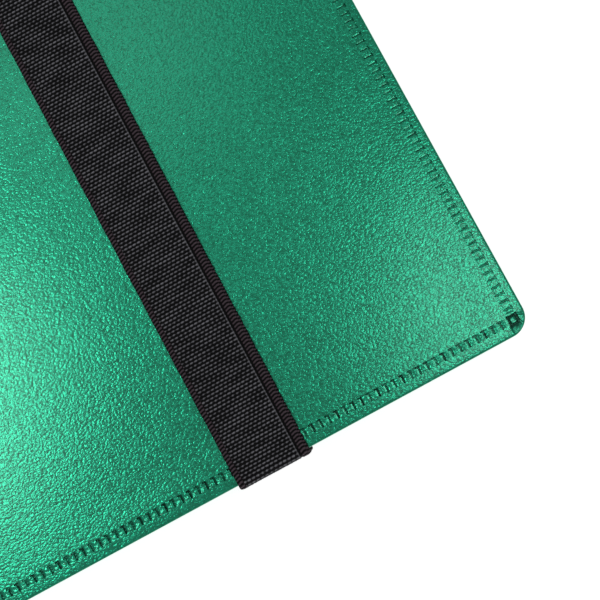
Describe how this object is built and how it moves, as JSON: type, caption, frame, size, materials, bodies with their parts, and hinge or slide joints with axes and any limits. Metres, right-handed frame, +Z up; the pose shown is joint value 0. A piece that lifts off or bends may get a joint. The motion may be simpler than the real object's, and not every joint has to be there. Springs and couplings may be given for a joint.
{
  "type": "stamp album",
  "caption": "Closed stamp stock book in green grained leatherette with a pressed edge seam, stiff black leaves with clear pocket strips, held shut by a woven elastic band.",
  "frame": {"origin": "centre of the closed album's base, on the back cover's outer face", "axes": "+X from the spine to the fore edge, +Y from the tail to the head, +Z up through the closed album from back cover to front cover"},
  "size_m": [0.232, 0.309, 0.0225],
  "materials": {
    "green_leatherette": "fine-grained satin leatherette",
    "green_lining": "smooth matte leatherette",
    "grey_board": "matte",
    "black_card": "matte",
    "black_linen": "matte woven",
    "clear_film": "clear gloss",
    "glassine": "smooth translucent",
    "black_elastic": "ribbed woven elastic"
  },
  "bodies": {
    "back_cover": {"back_cover_skin": "green_leatherette", "back_cover_board": "grey_board", "back_cover_lining": "green_lining", "band_end_tail": "black_elastic", "band_end_head": "black_elastic"},
    "spine": {"spine_skin": "green_leatherette", "spine_board": "grey_board", "spine_lining": "green_lining", "back_hinge_film": "green_leatherette", "front_hinge_film": "green_leatherette", "binding_strip": "black_linen"},
    "front_cover": {"front_cover_skin": "green_leatherette", "front_cover_board": "grey_board", "front_cover_lining": "green_lining"},
    "leaf_1": {"leaf_1_gutter": "black_linen", "leaf_1_card": "black_card", "leaf_1_pockets_upper": "clear_film", "leaf_1_pockets_lower": "clear_film", "leaf_1_interleaf": "glassine"},
    "leaf_2": {"leaf_2_gutter": "black_linen", "leaf_2_card": "black_card", "leaf_2_pockets_upper": "clear_film", "leaf_2_pockets_lower": "clear_film", "leaf_2_interleaf": "glassine"},
    "leaf_3": {"leaf_3_gutter": "black_linen", "leaf_3_card": "black_card", "leaf_3_pockets_upper": "clear_film", "leaf_3_pockets_lower": "clear_film", "leaf_3_interleaf": "glassine"},
    "leaf_4": {"leaf_4_gutter": "black_linen", "leaf_4_card": "black_card", "leaf_4_pockets_upper": "clear_film", "leaf_4_pockets_lower": "clear_film", "leaf_4_interleaf": "glassine"},
    "leaf_5": {"leaf_5_gutter": "black_linen", "leaf_5_card": "black_card", "leaf_5_pockets_upper": "clear_film", "leaf_5_pockets_lower": "clear_film", "leaf_5_interleaf": "glassine"},
    "leaf_6": {"leaf_6_gutter": "black_linen", "leaf_6_card": "black_card", "leaf_6_pockets_upper": "clear_film", "leaf_6_pockets_lower": "clear_film", "leaf_6_interleaf": "glassine"},
    "leaf_7": {"leaf_7_gutter": "black_linen", "leaf_7_card": "black_card", "leaf_7_pockets_upper": "clear_film", "leaf_7_pockets_lower": "clear_film", "leaf_7_interleaf": "glassine"},
    "leaf_8": {"leaf_8_gutter": "black_linen", "leaf_8_card": "black_card", "leaf_8_pockets_upper": "clear_film", "leaf_8_pockets_lower": "clear_film"},
    "elastic_band": {"elastic_band": "black_elastic"}
  },
  "joints": [
    {"name": "album_opens", "type": "hinge", "parent": "back_cover", "child": "spine", "pos_m": [-0.11514, 0, 0.00086], "axis": [0, -1, 0], "range_deg": [0, 90], "deforming": ["back_hinge_film"]},
    {"name": "front_cover_opens", "type": "hinge", "parent": "spine", "child": "front_cover", "pos_m": [-0.11514, 0, 0.02014], "axis": [0, -1, 0], "range_deg": [0, 90], "deforming": ["front_hinge_film"]},
    {"name": "leaf_1_turns", "type": "hinge", "parent": "spine", "child": "leaf_1", "pos_m": [-0.1122, 0, 0.0039], "axis": [0, -1, 0], "range_deg": [-85, 0]},
    {"name": "leaf_2_turns", "type": "hinge", "parent": "spine", "child": "leaf_2", "pos_m": [-0.1122, 0, 0.00575], "axis": [0, -1, 0], "range_deg": [-80, 0]},
    {"name": "leaf_3_turns", "type": "hinge", "parent": "spine", "child": "leaf_3", "pos_m": [-0.1122, 0, 0.0076], "axis": [0, -1, 0], "range_deg": [-75, 0]},
    {"name": "leaf_4_turns", "type": "hinge", "parent": "spine", "child": "leaf_4", "pos_m": [-0.1122, 0, 0.00945], "axis": [0, -1, 0], "range_deg": [-70, 0]},
    {"name": "leaf_5_turns", "type": "hinge", "parent": "spine", "child": "leaf_5", "pos_m": [-0.1122, 0, 0.0113], "axis": [0, -1, 0], "range_deg": [0, 70]},
    {"name": "leaf_6_turns", "type": "hinge", "parent": "spine", "child": "leaf_6", "pos_m": [-0.1122, 0, 0.01315], "axis": [0, -1, 0], "range_deg": [0, 75]},
    {"name": "leaf_7_turns", "type": "hinge", "parent": "spine", "child": "leaf_7", "pos_m": [-0.1122, 0, 0.015], "axis": [0, -1, 0], "range_deg": [0, 80]},
    {"name": "leaf_8_turns", "type": "hinge", "parent": "spine", "child": "leaf_8", "pos_m": [-0.1122, 0, 0.01685], "axis": [0, -1, 0], "range_deg": [0, 85]},
    {"name": "band_slips_off", "type": "slide", "parent": "back_cover", "child": "elastic_band", "axis": [1, 0, 0], "range_m": [0, 0.0855], "deforming": ["elastic_band"]}
  ],
  "couplings": [
    {"joint": "front_cover_opens", "follows": "album_opens", "ratio": 1},
    {"joint": "leaf_1_turns", "follows": "album_opens", "ratio": -0.9444},
    {"joint": "leaf_2_turns", "follows": "album_opens", "ratio": -0.8888},
    {"joint": "leaf_3_turns", "follows": "album_opens", "ratio": -0.8333},
    {"joint": "leaf_4_turns", "follows": "album_opens", "ratio": -0.7777},
    {"joint": "leaf_5_turns", "follows": "album_opens", "ratio": 0.7777},
    {"joint": "leaf_6_turns", "follows": "album_opens", "ratio": 0.8333},
    {"joint": "leaf_7_turns", "follows": "album_opens", "ratio": 0.8888},
    {"joint": "leaf_8_turns", "follows": "album_opens", "ratio": 0.9444},
    {"joint": "band_slips_off", "follows": "album_opens", "m_per_rad": 0.0544}
  ]
}
